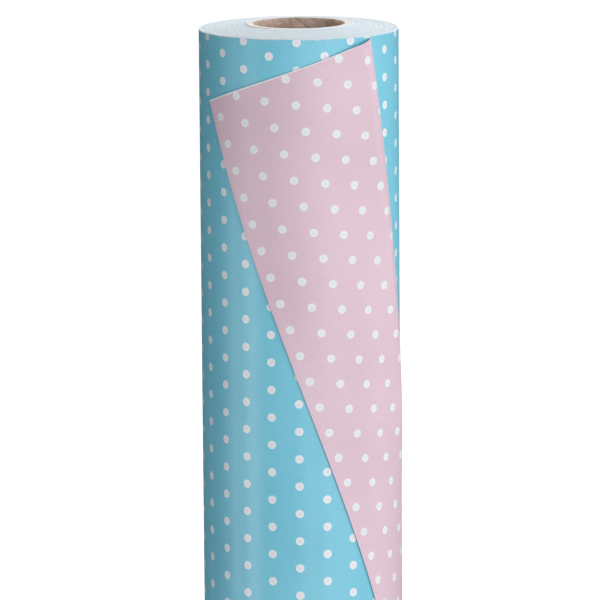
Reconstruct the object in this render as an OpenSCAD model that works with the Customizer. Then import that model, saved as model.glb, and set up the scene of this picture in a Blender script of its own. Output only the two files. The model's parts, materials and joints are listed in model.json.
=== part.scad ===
// Roll of gift-wrap paper standing on end. The paper is wound on a spiral cardboard core.
// The outermost turn is loose, and its top corner is folded down so that the back shows.
// Angles run round the roll from the front (-Y), positive towards +X. The origin is on
// the axis at the bottom end, +Z up.

/* [Paper] */
// Width of the paper, which is the height of the standing roll
paper_w = 700; // [660:10:1000]
// Outer diameter of the tightly wound paper
wound_d = 107.2; // [90:0.2:140]
// Modelled thickness of one loose sheet
sheet_t = 0.3; // [0.2:0.05:0.4]
// Clear gap between loose sheets that lie on each other
sheet_gap = 0.3; // [0.25:0.05:0.4]
// How far the innermost turns stand above the outermost, because the roll is wound askew
coning = 2.5; // [0:0.5:4]
// Width of the flat ring that the outermost turns make at each end
flat_ring = 3; // [2:0.5:6]

/* [Core] */
// Inside diameter of the cardboard core
core_bore_d = 50; // [38:1:60]
// Number of spiral-wound cardboard plies
plies = 6; // [6:1:6]
// Thickness of one ply
ply_t = 0.6; // [0.4:0.05:0.8]
// Thickness of the tape that holds the first turn
tape_t = 0.1; // [0.05:0.05:0.2]
// Width of that tape round the core
tape_w = 24; // [12:1:50]
// Length of that tape up the core
tape_l = 180; // [50:10:400]

/* [Loose turn] */
// Angle at which the loose turn leaves the wound paper
loose_start = -68; // [-70:1:-66]
// Arc of one loose panel between two bending lines
panel_arc = 32; // [30:1:33]
// Angle at which the loose turn ends
loose_end = 153.9; // [150:0.1:156]

/* [Folded corner] */
// Angle between the fold and the vertical
fold_angle = 10; // [9.5:0.1:10.5]
// Angle round the roll at which the fold leaves the top edge
fold_start = 44.3; // [44:0.1:46]
// Angle round the roll of the line on which the free corner lifts
lift_line = 42; // [40:0.5:43]
// Height of the pressed crease where the fold joins the two layers
crease_h = 4.5; // [3:0.5:8]

/* [Hidden] */
$fn = 180;

core_bore_r = core_bore_d / 2;
core_r = core_bore_r + plies * ply_t;
core_l = paper_w + coning;
wound_in_r = core_r + tape_t;
wound_r = wound_d / 2;

// Radii of the two loose layers, and of the lines on which they bend
wrap_in_r = wound_r + sheet_gap;
wrap_out_r = wrap_in_r + sheet_t;
flap_in_r = wrap_out_r + sheet_gap;
flap_out_r = flap_in_r + sheet_t;
arc_mm = wrap_out_r * PI / 180;

// Clearances of a loose sheet at its ends
end_gap = 0.4;
side_gap = 0.2 / arc_mm;
blunt_h = 2;
top_z = paper_w - end_gap;

// Bending lines and the free edge of the loose turn
panels = 7;
bend = concat([for (k = [0:panels - 1]) loose_start + k * panel_arc], [loose_end]);

// The folded corner: length of the folded stretch of top edge, and where the corner lands
fold_len = (loose_end - fold_start) * arc_mm;
corner_angle = fold_start - fold_len * cos(2 * fold_angle) / arc_mm;
corner_drop = fold_len * sin(2 * fold_angle);

// Colours
kraft = [0.68, 0.56, 0.47];
kraft_edge = [0.86, 0.80, 0.76];
paper_end = [0.86, 0.90, 0.91];
paper_face = [0.36, 0.71, 0.80];
paper_back = [0.86, 0.75, 0.79];
tape_tint = [0.90, 0.88, 0.78];

// Point at an angle, a radius and a height
function at(a, r, z) = [r * sin(a), -r * cos(a), z];

// Depth of the fold below the top edge
function fold_z(a) = top_z - max(0, a - fold_start) * arc_mm / tan(fold_angle);

// Upper edge of the folded corner: the turned-down top edge, then the fold itself
function flap_top_z(a) =
    a < fold_start ? top_z - (fold_start - a) * arc_mm * tan(2 * fold_angle) : fold_z(a);

// Lower edge of the folded corner: the paper's free edge, turned over
function flap_bottom_z(a) =
    top_z - corner_drop - (a - corner_angle) * arc_mm / tan(2 * fold_angle);

// Angles at which a sheet's section is drawn: its ends, the fold's start and whole steps
step_a = 2;
function stations(a0, a1) = [
    a0,
    for (k = [ceil(a0 / step_a):floor(a1 / step_a)])
        let (a = k * step_a, next = a + step_a)
        each [
            if (a > a0 + 0.1 && a < a1 - 0.1 && abs(a - fold_start) > 0.4) a,
            if (fold_start > max(a, a0) && fold_start < min(next, a1)) fold_start
        ],
    a1
];

// Curved sheet between two angles whose top and bottom edges follow two functions
module sheet(a0, a1, r_in, r_out, z_bottom, z_top) {
    angles = stations(a0, a1);
    last = len(angles) - 1;
    points = [
        for (a = angles)
            each [at(a, r_in, z_bottom(a)), at(a, r_out, z_bottom(a)),
                  at(a, r_out, z_top(a)), at(a, r_in, z_top(a))]
    ];
    sides = [
        for (i = [0:last - 1], j = [0:3])
            let (k = (j + 1) % 4, p = 4 * i, q = 4 * i + 4)
            each [[p + j, q + k, p + k], [p + j, q + j, q + k]]
    ];
    ends = [[0, 1, 2, 3], [4 * last + 3, 4 * last + 2, 4 * last + 1, 4 * last]];
    polyhedron(points, concat(sides, ends), convexity = 4);
}

// Tube standing on the floor
module tube(r_in, r_out, h) {
    difference() {
        cylinder(r = r_out, h = h);
        translate([0, 0, -1]) cylinder(r = r_in, h = h + 2);
    }
}

// Part of a tube between two angles
module arc_wall(a0, a1, r_in, r_out, z0, z1) {
    rotate([0, 0, a0 - 90])
    rotate_extrude(angle = a1 - a0)
    translate([r_in, z0])
    square([r_out - r_in, z1 - z0]);
}

module core_ply(n) {
    color(n == plies - 1 || n == 0 ? kraft : kraft_edge)
    tube(core_bore_r + n * ply_t, core_bore_r + (n + 1) * ply_t, core_l);
}

module core_tape() {
    half = tape_w / 2 / core_r * 180 / PI;
    mid_z = core_l / 2;
    color(tape_tint)
    arc_wall(-half, half, core_r, wound_in_r, mid_z - tape_l / 2, mid_z + tape_l / 2);
}

// The turns step up towards the core, so both ends are shallow cones with a flat outer ring
module wound_paper() {
    ring_in_r = wound_r - flat_ring;
    color(paper_end)
    rotate_extrude()
    polygon([
        [wound_in_r, coning],
        [ring_in_r, 0],
        [wound_r, 0],
        [wound_r, paper_w],
        [ring_in_r, paper_w],
        [wound_in_r, core_l]
    ]);
}

// The stretch of the last turn that stays on the roll, behind the loose turn
module outer_turn_fixed() {
    start = loose_end + 2 * side_gap;
    end = 360 + loose_start - side_gap;
    color(paper_face)
    arc_wall(start, end, wound_r, wrap_out_r, end_gap, top_z);
}

// Panel k of the loose turn, between bending lines k - 1 and k
module wrap_panel(k) {
    color(paper_face)
    sheet(bend[k - 1] + side_gap, bend[k] - side_gap, wrap_in_r, wrap_out_r,
          function(a) end_gap, function(a) fold_z(a));
}

// Part of the folded corner between two angles, blunt where it would run out to nothing
module flap(a0, a1) {
    color(paper_back)
    sheet(a0, a1, flap_in_r, flap_out_r,
          function(a) min(flap_bottom_z(a), flap_top_z(a) - blunt_h),
          function(a) flap_top_z(a));
}

// The folded corner where it is pressed onto panel k, with the crease that joins the two
module crease_strip(k) {
    a0 = k == 4 ? lift_line + side_gap : bend[k - 1] + side_gap;
    a1 = bend[k] - side_gap;
    flap(a0, a1);
    color(paper_back)
    sheet(max(a0, fold_start), a1, wrap_out_r, flap_in_r,
          function(a) fold_z(a) - crease_h, function(a) fold_z(a));
}

// The free part of the folded corner, from the lifting line towards its tip
module corner_leaf(n) {
    a1 = n == 1 ? lift_line : bend[5 - n];
    a0 = n == 4 ? corner_angle : bend[4 - n] + side_gap;
    flap(a0, a1 - side_gap);
}

core_ply(0);  // core_ply_inner
core_ply(1);  // core_ply_2
core_ply(2);  // core_ply_3
core_ply(3);  // core_ply_4
core_ply(4);  // core_ply_5
core_ply(5);  // core_ply_outer
core_tape();
wound_paper();
outer_turn_fixed();
wrap_panel(1);  // wrap_panel_1
wrap_panel(2);  // wrap_panel_2
wrap_panel(3);  // wrap_panel_3
wrap_panel(4);  // wrap_panel_4
wrap_panel(5);  // wrap_panel_5
wrap_panel(6);  // wrap_panel_6
wrap_panel(7);  // wrap_panel_7
crease_strip(4);  // crease_strip_4
crease_strip(5);  // crease_strip_5
crease_strip(6);  // crease_strip_6
crease_strip(7);  // crease_strip_7
corner_leaf(1);  // corner_leaf_1
corner_leaf(2);  // corner_leaf_2
corner_leaf(3);  // corner_leaf_3
corner_leaf(4);  // corner_leaf_4
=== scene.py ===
"""Looks of a standing roll of dotted gift-wrap paper with its top corner folded down.

Angles run round the roll in degrees, from the front (-Y) and positive towards +X.
Depths (v) run down from the paper's top edge, and lengths along the web (u) from the front.
"""
import json
import math

import bmesh
import bpy
import numpy as np
from mathutils import Matrix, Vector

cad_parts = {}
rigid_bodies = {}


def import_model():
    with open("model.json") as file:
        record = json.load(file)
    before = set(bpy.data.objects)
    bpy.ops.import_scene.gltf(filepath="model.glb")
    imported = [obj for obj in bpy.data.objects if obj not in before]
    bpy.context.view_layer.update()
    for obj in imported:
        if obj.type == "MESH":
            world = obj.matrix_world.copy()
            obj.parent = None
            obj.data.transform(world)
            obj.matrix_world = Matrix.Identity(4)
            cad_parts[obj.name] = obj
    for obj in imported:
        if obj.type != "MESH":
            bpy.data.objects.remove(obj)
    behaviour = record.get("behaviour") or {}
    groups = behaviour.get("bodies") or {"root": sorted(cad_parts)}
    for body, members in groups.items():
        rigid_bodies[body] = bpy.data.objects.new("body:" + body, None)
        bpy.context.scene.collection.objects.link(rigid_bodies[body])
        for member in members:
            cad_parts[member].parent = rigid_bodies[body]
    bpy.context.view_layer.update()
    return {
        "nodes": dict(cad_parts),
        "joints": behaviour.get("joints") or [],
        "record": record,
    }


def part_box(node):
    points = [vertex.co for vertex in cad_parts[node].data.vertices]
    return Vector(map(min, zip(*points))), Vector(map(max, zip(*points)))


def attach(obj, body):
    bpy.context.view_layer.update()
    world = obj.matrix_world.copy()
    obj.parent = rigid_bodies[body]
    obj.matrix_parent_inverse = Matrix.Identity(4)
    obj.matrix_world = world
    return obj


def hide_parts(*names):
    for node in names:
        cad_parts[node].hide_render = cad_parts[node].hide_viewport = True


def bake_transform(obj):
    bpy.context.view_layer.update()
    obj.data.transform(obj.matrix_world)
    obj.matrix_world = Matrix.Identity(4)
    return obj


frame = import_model()

MM = 0.001
PANELS = 7

# ---------------------------------------------------------------- sizes taken from the frame

record = frame["record"]
hinges = {j["name"]: j for j in frame["joints"]}
ply_hi = {n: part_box(n)[1].x for n in frame["nodes"] if n.startswith("core_ply")}

CORE_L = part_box("core_ply_inner")[1].z
WOUND_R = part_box("wound_paper")[1].x
CORE_R = max(ply_hi.values())
BORE_R = next(m for m in record["mounts"] if m["name"] == "core_bore")["dims"]["r_mm"] * MM
WRAP_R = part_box("outer_turn_fixed")[1].y
CONING = 2.5 * MM
FLAT_RING = 3 * MM
PAPER_W = CORE_L - CONING


def hinge_angle(name):
    """Angle round the roll of a vertical bending line."""
    x, y, _ = hinges[name]["pos_m"]
    return math.degrees(math.atan2(x, -y))


def unwrapped(angle, before):
    """The angle, plus a whole turn if that is needed to come after another."""
    return angle + 360 if angle < before else angle


BEND = [hinge_angle("unroll")]
for k in range(2, PANELS + 1):
    BEND.append(unwrapped(hinge_angle(f"uncurl_{k}"), BEND[-1]))
PANEL = BEND[1] - BEND[0]
LIFT_LINE = hinge_angle("corner_lift")
HINGE_R = math.hypot(*hinges["unroll"]["pos_m"][:2])

# The loose turn's end and the fold, as part.scad has them
FREE_EDGE = 153.9
FOLD_START = 44.3
FOLD_ANGLE = math.radians(10)
# Slopes of the folded corner's two free edges, which were not cut quite square
TOP_SLOPE = math.tan(math.radians(19.6))
LEAD_SLOPE = math.tan(math.radians(20.0))
SIN_F, COS_F, TAN_F = math.sin(FOLD_ANGLE), math.cos(FOLD_ANGLE), math.tan(FOLD_ANGLE)
ARC = WRAP_R * math.pi / 180
FOLD_U = FOLD_START * ARC
FOLD_LEN = (FREE_EDGE - FOLD_START) * ARC
CORNER_U = FOLD_U - FOLD_LEN * math.cos(math.atan(TOP_SLOPE))
CORNER_V = FOLD_LEN * math.sin(math.atan(TOP_SLOPE))
CORNER_ANGLE = CORNER_U / ARC

# ---------------------------------------------------------------- the paper's own sizes

SHEET_T = 0.24 * MM
WRAP_MID_R = WRAP_R - SHEET_T / 2
REST_GAP = 0.28 * MM
# The fold is a soft one: beside it the folded sheet swells away from the roll, except round at
# the back, where it is pressed flat
SWELL = 2.5 * MM
SWELL_AT = 7.0 * MM
SWELL_REACH = 9.5 * MM
SWELL_ENDS = (70.0, 86.0)
ROLL_DEPTH = 1.6 * MM
# Depth of the tip of the fold below the roll's end
TIP_V = 1.2 * MM
# Least depth of the loose turn's top edge, and height of its bottom edge above the floor
EDGE_GAP = 0.15 * MM
BOTTOM_GAP = 0.5 * MM
# How far the turned-down top edge comes to stand above its straight line, and the angle from
# the fold's tip over which it gets there
EDGE_RISE = 0.58 * MM
EDGE_RISE_SPAN = 18


def smooth(x):
    """A soft step from 0 to 1."""
    x = np.clip(x, 0, 1)
    return x * x * (3 - 2 * x)


def bump(x, width, power=2):
    """A soft hump, 1 at x = 0."""
    return np.exp(-np.abs(x / width) ** power)


def top_dip(a):
    """How far the loose turn's top edge has slipped down below the roll's end."""
    waves = 0.30 * np.sin(a / 4.77 - 0.54) + 0.08 * np.sin(a / 2.1 + 1.0) + 0.05 * np.sin(a / 1.3)
    near_tip = bump(a - FOLD_START, 9.0, 4)
    ragged = MM * np.maximum(0, 0.24 + waves) * 0.9 * (1 - near_tip)
    return EDGE_GAP + ragged + (TIP_V - EDGE_GAP) * near_tip


def fold_v(a):
    """Depth of the fold below the roll's end, at an angle past the fold's start."""
    return TIP_V + np.maximum(0, a - FOLD_START) * ARC / TAN_F


def flap_top_v(a):
    """Depth of the folded corner's upper edge: the turned-down top edge, then the fold."""
    past = FOLD_START - a
    turned = TIP_V + past * ARC * TOP_SLOPE - EDGE_RISE * smooth(past / EDGE_RISE_SPAN)
    return np.where(a < FOLD_START, turned, fold_v(a))


def flap_low_v(a):
    """Depth of the folded corner's lower edge, which is the paper's free edge turned over."""
    return TIP_V + CORNER_V + (a * ARC - CORNER_U) / LEAD_SLOPE


def from_fold(a, v):
    """Distance from the fold, measured square to it."""
    return (v - TIP_V) * SIN_F - (a * ARC - FOLD_U) * COS_F


def along_fold(a, v):
    """Distance along the fold's line, from its tip."""
    return (v - TIP_V) * COS_F + (a * ARC - FOLD_U) * SIN_F


def v_from_fold(a, s):
    """Depth of the point that lies at distance s from the fold."""
    return TIP_V + (s + (a * ARC - FOLD_U) * COS_F) / SIN_F


def ripple(a, v):
    """Slight waviness of the loose sheet, in metres."""
    x, y = a * ARC / MM, v / MM
    return MM * (
        0.035 * np.sin(x / 13.0 + y / 95.0 + 0.6)
        + 0.030 * np.sin(y / 41.0 - x / 29.0 + 2.1)
        + 0.020 * np.sin(y / 17.0 + x / 11.0)
        + 0.012 * np.sin(y / 7.3 - x / 5.1 + 0.9)
    )


def wrap_r(a, v):
    """Radius of the loose turn's middle surface."""
    settle = smooth((a - BEND[0]) / 12.0)
    return WRAP_MID_R + settle * ripple(a, v)


def swell(a, s):
    """Height that the fold's stiffness adds, at distance s from it."""
    rise = 0.12 + 0.88 * np.clip(s / SWELL_AT, 0, 1) ** 0.6
    fall = bump(np.maximum(0, s - SWELL_AT), SWELL_REACH, 1.5)
    start, end = SWELL_ENDS
    return SWELL * rise * fall * smooth((end - a) / (end - start))


def separation(a, v):
    """Height of the folded corner's middle surface over the loose turn's."""
    s = np.maximum(0, from_fold(a, v))
    d_low = np.maximum(0, flap_low_v(a) - v) * math.sin(2 * FOLD_ANGLE)
    d_top = np.maximum(0, v - flap_top_v(a)) * math.cos(2 * FOLD_ANGLE)
    d_corner = np.hypot(a * ARC - CORNER_U, v - CORNER_V - TIP_V)
    free = smooth((FOLD_START - a) / 25.0)
    return SHEET_T + REST_GAP + MM * (
        0.35 * bump(d_low, 4 * MM)
        + 0.30 * free * bump(d_top, 5 * MM)
        + 0.7 * bump(d_corner, 34 * MM)
        + 0.15 * free
    ) + swell(a, s)


def layer_r(a, v, upper):
    """Radius of the sheet's middle surface, on the folded side or the loose turn's side."""
    gap = separation(a, v)
    nose = np.clip(1 - from_fold(a, v) / ROLL_DEPTH, 0, 1)
    side = np.where(upper, 1, -1) * np.sqrt(1 - nose ** 2)
    return wrap_r(a, v) + gap * (1 + side) / 2


# ---------------------------------------------------------------- mesh helpers


def at(a, r, v):
    """Points at angles, radii and depths below the roll's end."""
    t = np.radians(a)
    return np.stack([r * np.sin(t), -r * np.cos(t), PAPER_W - v + 0 * t], axis=-1)


def new_mesh(name, verts, faces, mats, mat_index, uv=None):
    """A smooth-shaded object from points and faces. uv, if given, has a pair for each point."""
    mesh = bpy.data.meshes.new(name)
    mesh.from_pydata([tuple(p) for p in verts], [], [tuple(f) for f in faces])
    for m in mats:
        mesh.materials.append(m)
    mesh.polygons.foreach_set("material_index", np.asarray(mat_index, np.int32))
    if uv is not None:
        layer = mesh.uv_layers.new(name="sheet")
        loops = np.zeros(len(mesh.loops), np.int32)
        mesh.loops.foreach_get("vertex_index", loops)
        layer.data.foreach_set("uv", np.asarray(uv, np.float32)[loops].ravel())
    mesh.polygons.foreach_set("use_smooth", np.full(len(mesh.polygons), True))
    mesh.update()
    obj = bpy.data.objects.new(name, mesh)
    bpy.context.scene.collection.objects.link(obj)
    return obj


def solid_sheet(name, grid, normal, uv, shown, mats, joined=()):
    """A thin closed sheet about a grid of points. Where shown is False, there is no paper.

    Its printed face lies along the normals, its back against them, and its cut edges between.
    joined lists pairs of a row of the grid and a column whose point is that of the next column."""
    rows, cols = grid.shape[:2]
    face = (grid + normal * SHEET_T / 2).reshape(-1, 3)
    back = (grid - normal * SHEET_T / 2).reshape(-1, 3)
    n = rows * cols
    index = np.arange(n).reshape(rows, cols)
    for i, j in joined:
        index[i, j + 1] = index[i, j]
    faces, mat = [], []
    directed = {}  # a dict keeps the order in which the edges were met
    for i in range(rows - 1):
        for j in range(cols - 1):
            if not shown[i, j]:
                continue
            q = (index[i, j], index[i + 1, j], index[i + 1, j + 1], index[i, j + 1])
            faces.append(q)
            mat.append(0)
            faces.append(tuple(n + p for p in reversed(q)))
            mat.append(1)
            for p0, p1 in zip(q, q[1:] + q[:1]):
                directed[(p0, p1)] = True
    for p0, p1 in list(directed):
        if (p1, p0) not in directed:
            faces.append((p1, p0, n + p0, n + p1))
            mat.append(2)
    verts = np.concatenate([face, back])
    both_uv = np.concatenate([uv.reshape(-1, 2)] * 2)
    used = np.unique(np.array([p for f in faces for p in f]))
    renumber = np.full(2 * n, -1)
    renumber[used] = np.arange(len(used))
    faces = [tuple(renumber[list(f)]) for f in faces]
    return new_mesh(name, verts[used], faces, mats, mat, both_uv[used])


def sharpen_edges(obj):
    """Keeps the cut edges of a sheet crisp, where the face and back meet the edge strip."""
    mesh = obj.data
    strip = [p for p in mesh.polygons if p.material_index == 2]
    for p in strip:
        p.use_smooth = False
    on_strip = set(k for p in strip for k in p.edge_keys)
    for e in mesh.edges:
        if tuple(sorted(e.vertices)) in on_strip:
            e.use_edge_sharp = True
    return obj


# ---------------------------------------------------------------- surface maps

DOT_PITCH = 15 * MM
# Where the lattice of dots lies on each side of the web, in metres
FACE_PHASE = (-1.32 * MM, 1.65 * MM)
BACK_AT = (10.18, 22.86 * MM)


def unfold(a, v, s_flat):
    """Where a point lies on the web, laid flat. s_flat is its flat distance from the fold's line,
    positive on the loose turn's side."""
    lam = along_fold(a, v)
    return FOLD_U + lam * SIN_F - s_flat * COS_F, lam * COS_F + s_flat * SIN_F + TIP_V


# Length of paper in the roll of the fold, against the part of the half turn that it makes
ROLL_HALF_GAP = 0.6 * MM
ROLL_TURN = np.linspace(0, math.pi, 181)
ROLL_SPEED = np.hypot(ROLL_DEPTH * np.cos(ROLL_TURN), ROLL_HALF_GAP * np.sin(ROLL_TURN))
ROLL_STEPS = (ROLL_SPEED[1:] + ROLL_SPEED[:-1]) / 2 * np.diff(ROLL_TURN)
ROLL_LENGTH = np.concatenate([[0], np.cumsum(ROLL_STEPS)])


def flat_distance(s, upper):
    """Distance from the fold's line on the flat sheet, of a point at distance s from the fold."""
    beta = np.arcsin(np.clip(1 - s / ROLL_DEPTH, 0, 1))
    beta = np.where(upper, math.pi - beta, beta)
    in_roll = ROLL_DEPTH - np.interp(beta, ROLL_TURN, ROLL_LENGTH)
    beyond = np.maximum(0, s - ROLL_DEPTH)
    return in_roll + np.where(upper, -beyond, beyond)


def finite_normals(point, p, q, dp, dq):
    """Unit normals of point(p, q), on the printed face's side."""
    along = point(p + dp, q) - point(p - dp, q)
    up = point(p, q + dq) - point(p, q - dq)
    n = np.cross(along, up)
    return n / np.maximum(np.linalg.norm(n, axis=-1, keepdims=True), 1e-12)


def strip_point(a, t):
    """The loose turn and its folded corner as one strip of paper.

    t is 0 at the loose turn's bottom edge and 3 at the folded corner's lower edge. From 1 to 2 it
    rounds the fold, with its outermost line at 1.5. Where there is no fold yet, the loose turn
    ends at 1.5 and the folded corner starts there."""
    a, t = np.broadcast_arrays(np.asarray(a, float), np.asarray(t, float))
    upper = t > 1.5
    top = np.where(upper, flap_top_v(a), np.where(a < FOLD_START, top_dip(a), fold_v(a)))
    s_top = np.maximum(0, from_fold(a, top))
    end = np.where(upper, flap_low_v(a), PAPER_W - BOTTOM_GAP)
    s_end = np.maximum(from_fold(a, end), s_top + 0.1 * MM)
    knee = np.minimum(np.maximum(ROLL_DEPTH, s_top + 0.5 * MM), s_top + (s_end - s_top) * 0.6)
    beta = np.clip(t - 1, 0, 1) * math.pi
    s_roll = s_top + (knee - s_top) * (1 - np.sin(beta))
    far = np.where(upper, np.clip(t - 2, 0, 1), np.clip(1 - t, 0, 1))
    s = np.where(far > 0, knee + (s_end - knee) * far, s_roll)
    v = v_from_fold(a, s)
    return a, layer_r(a, v, upper), v


def strip_xyz(a, t):
    """Places of the strip's points."""
    return at(*strip_point(a, t))


def strip_uv(a, t):
    """Web coordinates of the strip's points, in metres."""
    a, t = np.broadcast_arrays(np.asarray(a, float), np.asarray(t, float))
    _, _, v = strip_point(a, t)
    return unfold(a, v, flat_distance(from_fold(a, v), t > 1.5))


# Angles and stations closer than this are the same
NEAR = 1e-6


def strip_grid(a, t):
    """Points, normals and web coordinates of the strip on a grid of angles and stations."""
    p, q = np.meshgrid(a, t, indexing="ij")
    eps_a, eps_t = 0.02, 1e-3
    slit = p < FOLD_START - NEAR
    at_slit = np.abs(q - 1.5) < 2 * NEAR
    side = np.where(q > 1.5, 1, -1)
    # A cut edge takes its slope from its own side
    q_in = np.where(slit & at_slit, q + side * 2 * eps_t, q)
    q_in = np.clip(q_in, eps_t, 3 - eps_t)
    p_in = np.where(slit, np.minimum(p, FOLD_START - 2 * eps_a),
                    np.maximum(p, FOLD_START + eps_a))
    n = finite_normals(strip_xyz, p_in, q_in, eps_a, eps_t)
    xyz = strip_xyz(p, q)
    return xyz, n, np.stack(strip_uv(p, q), axis=-1)


# Width in degrees of the narrow steps at the ends of a piece
END_STEP = 0.12


def angles(a0, a1):
    """Angles from a0 to a1 about a degree apart, with a narrow first and last step, so that
    shading joins up."""
    n = max(2, int(round(a1 - a0)))
    a = np.concatenate([[a0], np.linspace(a0 + END_STEP, a1 - END_STEP, n), [a1]])
    if a0 < FOLD_START < a1:
        a = a[np.abs(a - FOLD_START) > 0.45]
        a = np.sort(np.concatenate([a, FOLD_START + np.array([-0.3, -0.1, 0, 0.1, 0.3])]))
    return a


WRAP_ROWS = 120
ROLL_ROWS = 10
FLAP_ROWS = 60
# Stations along the strip, for the loose turn's side and for the folded side
WRAP_T = np.concatenate([
    np.linspace(0, 1, WRAP_ROWS + 1) ** 0.8,
    1 + 0.5 * np.linspace(0, 1, ROLL_ROWS + 1)[1:-1],
    [1.5 - NEAR],
])
FLAP_T = np.concatenate([
    [1.5 + NEAR],
    1.5 + 0.5 * np.linspace(0, 1, ROLL_ROWS + 1)[1:],
    2 + np.linspace(0, 1, FLAP_ROWS + 1)[1:] ** 1.3,
])


def wrap_piece(name, a0, a1, mats):
    """A stretch of the loose turn, with the fold and the folded corner where they belong to it."""
    a = angles(a0, a1)
    with_fold = a1 > FOLD_START
    t = np.concatenate([WRAP_T, FLAP_T]) if with_fold else WRAP_T
    shown = np.ones((len(a) - 1, len(t) - 1), bool)
    joined = []
    if with_fold:
        last = len(WRAP_T) - 1
        shown[:, last] = False
        joined = [(i, last) for i in range(len(a)) if a[i] >= FOLD_START - NEAR]
    xyz, n, uv = strip_grid(a, t)
    return sharpen_edges(solid_sheet(name, xyz, n, uv, shown, mats, joined))


def flap_piece(name, a0, a1, mats):
    """A stretch of the free part of the folded corner."""
    a = angles(a0, a1)
    xyz, n, uv = strip_grid(a, FLAP_T)
    shown = np.ones((len(a) - 1, len(FLAP_T) - 1), bool)
    return sharpen_edges(solid_sheet(name, xyz, n, uv, shown, mats))


# ---------------------------------------------------------------- shader helpers


class Nodes:
    """Short ways to add nodes to a material."""

    def __init__(self, name):
        self.mat = bpy.data.materials.new(name)
        self.mat.use_nodes = True
        self.tree = self.mat.node_tree
        self.bsdf = self.tree.nodes["Principled BSDF"]

    def node(self, kind, **values):
        n = self.tree.nodes.new(kind)
        for key, value in values.items():
            setattr(n, key, value)
        return n

    def link(self, out, into):
        self.tree.links.new(out, into)

    def math(self, op, a, b=None):
        n = self.node("ShaderNodeMath", operation=op)
        for i, x in enumerate((a, b)):
            if x is None:
                continue
            if isinstance(x, (int, float)):
                n.inputs[i].default_value = x
            else:
                self.link(x, n.inputs[i])
        return n.outputs[0]

    def mix(self, factor, a, b):
        n = self.node("ShaderNodeMix", data_type="RGBA")
        for name, kind, x in (("Factor", "VALUE", factor), ("A", "RGBA", a), ("B", "RGBA", b)):
            sock = next(i for i in n.inputs if i.name == name and i.type == kind)
            if isinstance(x, tuple):
                sock.default_value = (*x, 1)
            else:
                self.link(x, sock)
        return next(out for out in n.outputs if out.type == "RGBA")

    def smoothstep(self, x, low, high, out_low=0.0, out_high=1.0):
        n = self.node("ShaderNodeMapRange", interpolation_type="SMOOTHSTEP")
        self.link(x, n.inputs["Value"])
        n.inputs["From Min"].default_value = low
        n.inputs["From Max"].default_value = high
        n.inputs["To Min"].default_value = out_low
        n.inputs["To Max"].default_value = out_high
        return n.outputs["Result"]

    def noise(self, vector, scale, detail=3.0, rough=0.55):
        n = self.node("ShaderNodeTexNoise")
        self.link(vector, n.inputs["Vector"])
        n.inputs["Scale"].default_value = scale
        n.inputs["Detail"].default_value = detail
        n.inputs["Roughness"].default_value = rough
        return n.outputs["Fac"]

    def bump(self, height, strength, distance):
        n = self.node("ShaderNodeBump")
        n.inputs["Strength"].default_value = strength
        n.inputs["Distance"].default_value = distance
        self.link(height, n.inputs["Height"])
        self.link(n.outputs["Normal"], self.bsdf.inputs["Normal"])

    def total(self, *terms):
        """Sum of outputs, each times its weight."""
        out = None
        for x, weight in terms:
            part = self.math("MULTIPLY", x, weight)
            out = part if out is None else self.math("ADD", out, part)
        return out

    def scaled(self, vector, sx, sy, sz=1.0):
        n = self.node("ShaderNodeVectorMath", operation="MULTIPLY")
        self.link(vector, n.inputs[0])
        n.inputs[1].default_value = (sx, sy, sz)
        return n.outputs[0]


def linear(r, g, b):
    """Linear values of an sRGB colour given in 0 to 255."""
    return tuple(((c / 255 + 0.055) / 1.055) ** 2.4 if c > 10 else c / 255 / 12.92
                 for c in (r, g, b))


DOT_R = 2.28 * MM
# Half the width over which a dot's edge fades, and the range over which the edge wanders
DOT_FADE = 0.16 * MM
DOT_WANDER = 0.16 * MM
# Width over which the unprinted margin gives way to ink
MARGIN_FADE = 0.12 * MM


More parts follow.
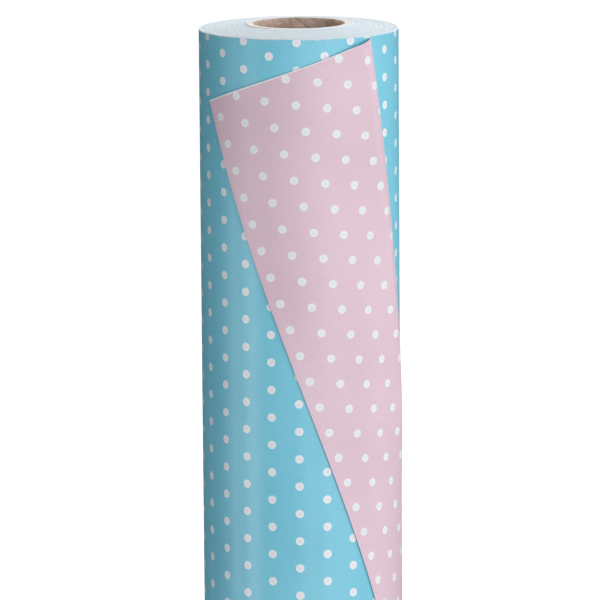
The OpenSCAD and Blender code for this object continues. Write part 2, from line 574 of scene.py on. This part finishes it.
def printed_side(name, ink, ink_deep, dot, dot_heart, phase, gloss, margin=0.0):
    """One printed side of the paper: dots on a staggered lattice over a flat ink.

    The UV map holds places on the web in metres. margin, unless it is 0, is how deep the
    unprinted margin at the web's top edge goes, measured from the depth of the fold's tip."""
    m = Nodes(name)
    uv = m.node("ShaderNodeUVMap", uv_map="sheet").outputs["UV"]
    split = m.node("ShaderNodeSeparateXYZ")
    m.link(uv, split.inputs[0])
    wobble = m.noise(uv, 900.0, 2.0)
    edge_noise = m.math("MULTIPLY", m.math("SUBTRACT", wobble, 0.5), DOT_WANDER)
    x = m.math("DIVIDE", m.math("SUBTRACT", split.outputs["X"], phase[0]), DOT_PITCH)
    y = m.math("DIVIDE", m.math("SUBTRACT", split.outputs["Y"], phase[1]), DOT_PITCH)
    column = m.math("ROUND", x)
    half = m.math("MULTIPLY", m.math("FLOORED_MODULO", column, 2.0), 0.5)
    y = m.math("SUBTRACT", y, half)
    fx = m.math("SUBTRACT", x, column)
    fy = m.math("SUBTRACT", y, m.math("ROUND", y))
    square = m.math("ADD", m.math("MULTIPLY", fx, fx), m.math("MULTIPLY", fy, fy))
    dist = m.math("MULTIPLY", m.math("SQRT", square), DOT_PITCH)
    dist = m.math("ADD", dist, edge_noise)
    in_dot = m.smoothstep(dist, DOT_R - DOT_FADE, DOT_R + DOT_FADE, 1.0, 0.0)
    in_heart = m.smoothstep(dist, 0.3 * MM, DOT_R * 0.85, 1.0, 0.0)
    # Ink laid a little unevenly: broad clouds, fine mottle and faint draw lines along the web
    clouds = m.noise(uv, 14.0, 3.0)
    mottle = m.noise(uv, 420.0, 4.0, 0.65)
    lines = m.noise(m.scaled(uv, 6, 260), 1.0, 2.0)
    uneven = m.total((clouds, 0.55), (mottle, 0.35), (lines, 0.10))
    ground = m.mix(m.smoothstep(uneven, 0.36, 0.64), ink, ink_deep)
    dots = m.mix(in_heart, dot, dot_heart)
    colour = m.mix(in_dot, ground, dots)
    if margin:
        bare = m.smoothstep(m.math("SUBTRACT", split.outputs["Y"], TIP_V),
                            margin - MARGIN_FADE, margin, 1.0, 0.0)
        colour = m.mix(bare, colour, linear(240, 244, 246))
    m.link(colour, m.bsdf.inputs["Base Color"])
    rough = m.math("ADD", m.math("MULTIPLY", mottle, 0.12), gloss)
    m.link(rough, m.bsdf.inputs["Roughness"])
    m.bsdf.inputs["IOR"].default_value = 1.45
    m.bump(m.total((mottle, 0.7), (clouds, 0.5)), 0.25, 0.05 * MM)
    return m.mat


def cut_edge():
    """The white stock that shows where the paper is cut."""
    m = Nodes("paper_cut_edge")
    place = m.node("ShaderNodeTexCoord").outputs["Object"]
    fibre = m.noise(place, 2200.0, 3.0)
    m.link(m.mix(fibre, linear(246, 248, 249), linear(222, 230, 234)), m.bsdf.inputs["Base Color"])
    m.bsdf.inputs["Roughness"].default_value = 0.75
    m.bump(fibre, 0.3, 0.05 * MM)
    return m.mat


def winding_ends():
    """The end of the windings: fine rings of pale stock, with a trace of the printed inks."""
    m = Nodes("winding_ends")
    place = m.node("ShaderNodeTexCoord").outputs["Object"]
    radius = m.node("ShaderNodeVectorMath", operation="LENGTH")
    m.link(m.scaled(place, 1, 1, 0), radius.inputs[0])
    # Noise that runs out from the axis makes rings, and a slow drift keeps them from being perfect
    ring = m.node("ShaderNodeCombineXYZ")
    m.link(radius.outputs["Value"], ring.inputs[0])
    wander = m.noise(place, 60.0, 2.0)
    m.link(m.math("MULTIPLY", wander, 0.004), ring.inputs[1])
    broad = m.noise(ring.outputs[0], 420.0, 3.0, 0.6)
    fine = m.noise(ring.outputs[0], 2600.0, 3.0, 0.7)
    speck = m.noise(place, 1500.0, 4.0, 0.7)
    tone = m.total((broad, 0.45), (fine, 0.30), (speck, 0.25))
    colour = m.mix(m.smoothstep(tone, 0.36, 0.64), linear(210, 228, 238), linear(242, 248, 251))
    blue_hint = m.smoothstep(fine, 0.60, 0.78)
    colour = m.mix(m.math("MULTIPLY", blue_hint, 0.35), colour, linear(150, 200, 220))
    m.link(colour, m.bsdf.inputs["Base Color"])
    m.bsdf.inputs["Roughness"].default_value = 0.7
    m.bump(m.total((fine, 0.6), (speck, 0.4)), 0.5, 0.12 * MM)
    return m.mat


def kraft(name, light, dark):
    """Brown cardboard with short fibres and broad stains."""
    m = Nodes(name)
    place = m.node("ShaderNodeTexCoord").outputs["Object"]
    stains = m.noise(place, 70.0, 4.0, 0.6)
    fibre = m.noise(m.scaled(place, 1, 1, 0.25), 1400.0, 4.0, 0.7)
    flecks = m.noise(place, 420.0, 3.0, 0.6)
    tone = m.total((stains, 0.45), (fibre, 0.30), (flecks, 0.25))
    m.link(m.mix(m.smoothstep(tone, 0.34, 0.66), light, dark), m.bsdf.inputs["Base Color"])
    m.bsdf.inputs["Roughness"].default_value = 0.88
    m.bsdf.inputs["Specular IOR Level"].default_value = 0.3
    m.bump(m.total((fibre, 0.5), (flecks, 0.5)), 0.6, 0.2 * MM)
    return m.mat


# ---------------------------------------------------------------- materials

back_u, back_v = unfold(*BACK_AT, flat_distance(from_fold(*BACK_AT), True))
BLUE = (linear(130, 210, 232), linear(122, 202, 226))
PINK = (linear(229, 201, 214), linear(223, 193, 208))
face_side = printed_side("paper_face_blue", *BLUE, linear(238, 243, 247), linear(236, 232, 238),
                         FACE_PHASE, 0.26)
back_side = printed_side("paper_back_pink", *PINK, linear(236, 240, 243), linear(230, 235, 236),
                         (float(back_u), float(back_v)), 0.34, margin=-0.31 * MM)
edge_side = cut_edge()
ends = winding_ends()
kraft_bore = kraft("kraft_bore", linear(234, 216, 202), linear(176, 148, 134))
kraft_cut = kraft("kraft_cut_end", linear(244, 243, 242), linear(222, 216, 212))
PAPER = [face_side, back_side, edge_side]

# ---------------------------------------------------------------- the loose turn and its corner

MID = [b + PANEL / 2 for b in BEND]


def blend_points(joint, a0, a1):
    """Start and end points of a blend from angle a0 to a1, level with a joint."""
    z = hinges[joint]["pos_m"][2]

    def point(a):
        t = math.radians(a)
        return (HINGE_R * math.sin(t), -HINGE_R * math.cos(t), z)

    return point(a0), point(a1)


def bend_piece(obj, joint, a0, a1):
    """Bakes a piece's placement into its mesh. The ends of a blend between two angles, level with a
    joint, are worked out but not used.
    """
    start, end = blend_points(joint, a0, a1)
    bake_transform(obj)


# The first panel that has a pressed crease strip on it
FIRST_CREASED = 4


def loose_turn():
    """The loose turn, cut midway between its bending lines."""
    cuts = [BEND[0]] + MID[:-1] + [FREE_EDGE]
    for k in range(PANELS):
        obj = wrap_piece(f"loose_turn_{k + 1}", cuts[k], cuts[k + 1], PAPER)
        joint = "unroll" if k == 0 else f"uncurl_{k + 1}"
        a0 = BEND[0] if k == 0 else MID[k - 1]
        bend_piece(obj, joint, a0, MID[k])
        stands_for = [f"wrap_panel_{k + 1}"]
        if k + 1 >= FIRST_CREASED:
            stands_for.append(f"crease_strip_{k + 1}")
        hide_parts(*stands_for)


# Degrees past the fourth bending line where the folded corner's first two pieces meet
LIFT_SPAN = 7


def folded_corner():
    """The free part of the corner, in four pieces. Each is given bend angles that match those of
    the loose turn beneath it, but nothing bends.
    """
    lift_end = BEND[3] + LIFT_SPAN
    pieces = [
        ("folded_corner_1", lift_end, MID[3], "corner_lift", "wrap_4", "corner_1",
         LIFT_LINE, lift_end),
        ("folded_corner_2", MID[2], lift_end, "corner_uncurl_2", "corner_1", "corner_2",
         lift_end, 2 * BEND[3] - lift_end),
        ("folded_corner_3", MID[1], MID[2], "corner_uncurl_3", "corner_2", "corner_3",
         MID[2], MID[1]),
        ("folded_corner_4", CORNER_ANGLE, MID[1], "corner_uncurl_4", "corner_3", "corner_4",
         MID[1], MID[0]),
    ]
    for k, (name, a0, a1, joint, before, after, b0, b1) in enumerate(pieces):
        obj = flap_piece(name, a0, a1, PAPER)
        bend_piece(obj, joint, b0, b1)
        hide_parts(f"corner_leaf_{k + 1}")


# ---------------------------------------------------------------- the tight roll

SKIN_ROWS = 90
# Where the skin's dots lie, against a lattice that runs on unchanged from the loose turn
SKIN_STRETCH = 1.0055
SKIN_SLIP = 0.55 * MM
# How far the skin's last part lies inside the wound paper's radius
SKIN_SINK = 0.05 * MM
# Size of the bevel at the roll's outer edges, and radius of the windings' inside
RIM = 0.4 * MM
INNER_R = CORE_R + 0.12 * MM


def skin_r(a):
    """Outer radius of the roll. a runs backwards from the loose turn's start, for a full turn."""
    turn = (BEND[0] - a) / 360
    return WRAP_R - turn * (WRAP_R - WOUND_R + SKIN_SINK)


def end_height(r, a):
    """Height of the windings' end above its plain cone: steps between groups of turns."""
    x = (r - CORE_R) / MM
    t = np.radians(a)
    step = (
        0.10 * np.sin(x * 2.1 + 0.7 * np.sin(t + 0.4))
        + 0.07 * np.sin(x * 4.9 + 1.1 * np.sin(t * 2 + 1.2))
        + 0.05 * np.sin(x * 9.3 + 0.5 * np.sin(t * 3))
        + 0.05 * np.sin(3 * t + x * 0.35)
    )
    return MM * step


# Share of the gap's depth at the innermost stations of the end face
GAP_STEPS = {0: 1.0, 1: 0.8, 2: 0.12}


def core_gap(a):
    """Depth to which the innermost turns have come away from the core, at the top end."""
    left = bump((a + 78 + 180) % 360 - 180, 34.0, 4)
    right = bump((a - 112 + 180) % 360 - 180, 16.0, 4)
    return MM * (3.0 * left + 2.2 * right)


def end_cone(r):
    """Height of the windings' end: a cone up to the core, inside a flat outer ring."""
    ring_r = WOUND_R - FLAT_RING
    return CONING * np.clip((ring_r - r) / (ring_r - INNER_R), 0, 1)


def wound_section(ang, radii, v_rows):
    """The roll's outline at one angle, as (angle, radius, height, u, v, material) rows."""
    r_out = skin_r(ang)
    u = BEND[0] * ARC + (ang - BEND[0]) * ARC * SKIN_STRETCH
    section = []
    # The steps at the bottom end only go up, so that the roll stands on its outer turns
    for f in radii:
        r = INNER_R + (r_out - RIM - INNER_R) * f
        z = end_cone(r) + max(0.0, float(-end_height(r, ang)) * 0.8 if f < 0.93 else 0.0)
        section.append((ang, r, z, u, PAPER_W, 1))
    for v in v_rows[::-1]:
        z = np.clip(PAPER_W - v, RIM, PAPER_W - RIM)
        section.append((ang, r_out, z, u, v + SKIN_SLIP, 0))
    gap_depth = float(core_gap(ang))
    for k, f in enumerate(radii[::-1]):
        r = INNER_R + (r_out - RIM - INNER_R) * f
        # The steps are lower near the rim
        flatter = 0.4 + 0.6 * min(1, (1 - f) * 8)
        z = PAPER_W + end_cone(r) + float(end_height(r, ang)) * flatter
        z -= gap_depth * GAP_STEPS.get(len(radii) - 1 - k, 0)
        section.append((ang, r, z, u, 0.0, 1))
    return section


def wound_roll():
    """The wound paper, with its outer skin, stepped ends and the gap round the core."""
    a = np.concatenate([[BEND[0]], BEND[0] - 0.1 - np.arange(0, 359.9, 1.2), [BEND[0] - 360]])
    v_rows = np.linspace(0, PAPER_W, SKIN_ROWS)
    radii = np.concatenate([[0], np.linspace(0, 1, 76)[1:-1], [1]])
    verts, uv, faces, mat = [], [], [], []
    loops = [wound_section(ang, radii, v_rows) for ang in a]
    n = len(loops[0])
    for ring in loops:
        for ang, r, z, u, v, _ in ring:
            t = math.radians(ang)
            verts.append((r * math.sin(t), -r * math.cos(t), z))
            uv.append((u, v))
    for i in range(len(loops) - 1):
        for j in range(n):
            k = (j + 1) % n
            p, q = i * n, (i + 1) * n
            faces.append((p + j, q + j, q + k, p + k))
            skin = loops[i][j][5] == 0 and loops[i][k][5] == 0
            mat.append(0 if skin else 1)
    # The step where the outer turn leaves the roll
    last = (len(loops) - 1) * n
    for j in range(n):
        k = (j + 1) % n
        faces.append((last + j, j, k, last + k))
        mat.append(1)
    obj = new_mesh("wound_roll", verts, faces, [face_side, ends], mat, uv)
    mesh = obj.data
    low, high = len(radii), len(radii) + len(v_rows)
    rim_rows = {low - 1, low, high - 1, high}
    for e in mesh.edges:
        i0, i1 = e.vertices
        if i0 % n == i1 % n and i0 % n in rim_rows:
            e.use_edge_sharp = True
    bm = bmesh.new()
    bm.from_mesh(mesh)
    bmesh.ops.remove_doubles(bm, verts=bm.verts, dist=1e-7)
    bmesh.ops.recalc_face_normals(bm, faces=bm.faces)
    bm.to_mesh(mesh)
    bm.free()
    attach(obj, "roll")
    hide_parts("wound_paper", "outer_turn_fixed")


# ---------------------------------------------------------------- the core

SEAM_ANGLE = 52.0
SEAM_AT = 186.0
SEAM_W = 0.35 * MM
SEAM_DEPTH = 0.45 * MM
# Angle from one ply's seam to the next, and the gap left between plies
SEAM_TURN = 131
PLY_GAP = 0.03 * MM


def helical_ply(name, r_in, r_out, seam_at, mats, groove_in, groove_out):
    """A ply wound as a helix. Its columns follow the helix, so the butt seam is a real groove."""
    twist = math.degrees(math.tan(math.radians(SEAM_ANGLE)) / r_in)
    half = math.degrees(SEAM_W / r_in)
    base = np.concatenate([[-half, -half * 0.35, half * 0.35, half],
                           np.linspace(half, 360 - half, 97)[1:-1]])
    depth = np.concatenate([[0, 1, 1, 0], np.zeros(95)])
    rows = np.linspace(0, CORE_L, 181)
    cols, count = len(base), len(rows)
    verts, faces, mat = [], [], []
    for side, (r, groove) in enumerate(((r_in, groove_in), (r_out, groove_out))):
        for z in rows:
            for b, d in zip(base, depth):
                t = math.radians(seam_at + b + twist * (z - CORE_L))
                sign = 1 if side == 0 else -1
                fuzz = 0.03 * MM * math.sin(b * 1.7 + z / MM * 0.9) * math.sin(z / MM * 0.37 + b)
                rr = r + sign * d * groove * SEAM_DEPTH + (fuzz if side == 0 else 0)
                verts.append((rr * math.sin(t), -rr * math.cos(t), z))
    n = cols * count
    for i in range(count - 1):
        for j in range(cols):
            k = (j + 1) % cols
            a, b, c, d = i * cols + j, i * cols + k, (i + 1) * cols + k, (i + 1) * cols + j
            faces.append((a, d, c, b))
            faces.append((n + a, n + b, n + c, n + d))
            mat += [0, 0]
    for j in range(cols):
        k = (j + 1) % cols
        top = (count - 1) * cols
        faces.append((j, k, n + k, n + j))
        faces.append((top + j, n + top + j, n + top + k, top + k))
        mat += [1, 1]
    obj = new_mesh(name, verts, faces, mats, mat)
    for p in obj.data.polygons:
        if p.material_index == 1:
            p.use_smooth = False
    return obj


def core():
    """The six plies and the tape. Only the bore's seam and the outside's are grooves."""
    names = ["core_ply_inner", "core_ply_2", "core_ply_3", "core_ply_4", "core_ply_5",
             "core_ply_outer"]
    r_in = BORE_R
    for k, name in enumerate(names):
        r_out = ply_hi[name]
        obj = helical_ply(f"core_wound_ply_{k + 1}", r_in, r_out - PLY_GAP,
                          SEAM_AT + SEAM_TURN * k, [kraft_bore, kraft_cut],
                          1.0 if k == 0 else 0.0, 1.0 if k == len(names) - 1 else 0.0)
        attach(obj, "roll")
        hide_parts(name)
        r_in = r_out
    tape = frame["nodes"]["core_tape"].data.materials
    tape.clear()
    tape.append(edge_side)


# ---------------------------------------------------------------- studio

# Soft boxes: name, angle round the roll, elevation, distance, width, height, aim height, power
LIGHTS = (
    ("left_rim", -92, 0, 1.5, 0.2, 0.75, 0.12, 0.8),
    ("left_low", -82, 0, 1.5, 0.2, 0.75, 0.12, 2.1),
    ("left_soft", -58, 0, 1.5, 0.4, 0.75, 0.12, 4.6),
    ("front_left", -18, 6, 1.6, 0.4, 1.7, 0.45, 1.9),
    ("front", 8, 6, 1.6, 0.4, 1.7, 0.45, 6.6),
    ("front_right", 30, 6, 1.6, 0.4, 1.7, 0.45, 6.9),
    ("key", 46, 6, 1.6, 0.4, 1.7, 0.45, 4.8),
    ("key_side", 60, 6, 1.6, 0.4, 1.7, 0.45, 3.9),
    ("right", 88, 6, 1.6, 0.4, 1.7, 0.45, 3.6),
    ("right_rim", 100, 6, 1.6, 0.42, 1.7, 0.45, 4.2),
    ("back_right", 125, 6, 1.6, 0.42, 1.7, 0.45, 8.0),
    ("back_left", -150, 8, 1.6, 0.6, 1.7, 0.45, 4.0),
    ("back_top", 180, 50, 1.6, 1.2, 0.8, 0.45, 21.0),
    ("top", 0, 84, 1.3, 1.2, 1.2, 0.7, 3.0),
)
# Beyond this angle a light would put a bright line along the roll's silhouette
NO_SHINE_PAST = 90


def area_light(name, azimuth, elevation, distance, width, height, aim_z, power):
    """A soft box that looks at the roll's axis and that the camera doesn't see."""
    light = bpy.data.lights.new(name, "AREA")
    light.shape = "RECTANGLE"
    light.size, light.size_y = width, height
    light.energy = power
    obj = bpy.data.objects.new(name, light)
    a, e = math.radians(azimuth), math.radians(elevation)
    z = np.array([math.sin(a) * math.cos(e), -math.cos(a) * math.cos(e), math.sin(e)])
    x = np.cross([0, 0, 1], z)
    x /= np.linalg.norm(x)
    place(obj, x, np.cross(z, x), z, np.array([0, 0, aim_z]) + z * distance)
    obj.visible_camera = False
    obj.visible_glossy = abs(azimuth) < NO_SHINE_PAST


def place(obj, x, y, z, where):
    """Sets an object's axes and place, and adds it to the scene."""
    m = Matrix.Identity(4)
    for i in range(3):
        m[i][0], m[i][1], m[i][2], m[i][3] = x[i], y[i], z[i], where[i]
    obj.matrix_world = m
    bpy.context.scene.collection.objects.link(obj)


def studio():
    """A dim room with soft boxes. The camera sees white behind the roll, as with a cut-out."""
    scene = bpy.context.scene
    scene.view_settings.view_transform = "Standard"
    world = bpy.data.worlds.new("studio")
    scene.world = world
    world.use_nodes = True
    tree = world.node_tree
    background = tree.nodes["Background"]
    background.inputs["Color"].default_value = (0.85, 0.93, 1.0, 1)
    background.inputs["Strength"].default_value = 0.04
    seen = tree.nodes.new("ShaderNodeBackground")
    seen.inputs["Color"].default_value = (1, 1, 1, 1)
    path = tree.nodes.new("ShaderNodeLightPath")
    choose = tree.nodes.new("ShaderNodeMixShader")
    tree.links.new(path.outputs["Is Camera Ray"], choose.inputs[0])
    tree.links.new(background.outputs[0], choose.inputs[1])
    tree.links.new(seen.outputs[0], choose.inputs[2])
    tree.links.new(choose.outputs[0], tree.nodes["World Output"].inputs["Surface"])
    for row in LIGHTS:
        area_light(*row)


FLOOR_HALF = 40
FLOOR_SUN = 3.7


def floor():
    """A white floor. A lamp of its own lights it, so that it is white but lights nothing else."""
    h = FLOOR_HALF
    mesh = bpy.data.meshes.new("floor")
    mesh.from_pydata([(-h, -h, 0), (h, -h, 0), (h, h, 0), (-h, h, 0)], [], [(0, 1, 2, 3)])
    obj = bpy.data.objects.new("floor", mesh)
    bpy.context.scene.collection.objects.link(obj)
    m = Nodes("floor")
    m.bsdf.inputs["Base Color"].default_value = (0.9, 0.9, 0.9, 1)
    m.bsdf.inputs["Roughness"].default_value = 0.9
    mesh.materials.append(m.mat)
    obj.visible_diffuse = False
    obj.visible_glossy = False
    obj.visible_shadow = False
    lit = bpy.data.collections.new("floor_only")
    lit.objects.link(obj)
    sun = bpy.data.lights.new("floor_sun", "SUN")
    sun.energy = FLOOR_SUN
    sun.angle = math.radians(50)
    lamp = bpy.data.objects.new("floor_sun", sun)
    bpy.context.scene.collection.objects.link(lamp)
    lamp.light_linking.receiver_collection = lit


def core_lamp():
    """A lamp from the right that reaches down the bore, and lights the core alone."""
    lit = bpy.data.collections.new("core_only")
    for obj in bpy.data.objects:
        if obj.name.startswith("core_wound_ply"):
            lit.objects.link(obj)
    area_light("core_lamp", 95, 34, 1.6, 0.3, 0.3, 0.68, 4.6)
    bpy.data.objects["core_lamp"].light_linking.receiver_collection = lit


# The photo's viewpoint: distance in front of the axis, and height above the paper's top edge
CAM_DIST = 2.8149
CAM_ABOVE = 0.33856
CAM_PITCH = math.radians(9.8313)
CAM_YAW = math.radians(-0.0087)
CAM_ROLL = math.radians(-0.4053)
CAM_LENS = 314.84


def camera():
    """The camera, at the photo's angle."""
    data = bpy.data.cameras.new("camera")
    data.lens = CAM_LENS
    data.sensor_width = 36
    cam = bpy.data.objects.new("camera", data)
    level = math.cos(CAM_PITCH)
    forward = np.array([level * math.sin(CAM_YAW), level * math.cos(CAM_YAW), -math.sin(CAM_PITCH)])
    right = np.array([math.cos(CAM_YAW), -math.sin(CAM_YAW), 0])
    up = np.cross(right, forward)
    c, s = math.cos(CAM_ROLL), math.sin(CAM_ROLL)
    place(cam, c * right + s * up, c * up - s * right, -forward,
          (0, -CAM_DIST, PAPER_W + CAM_ABOVE))
    bpy.context.scene.camera = cam


camera()
studio()
floor()
wound_roll()
core()
core_lamp()
loose_turn()
folded_corner()
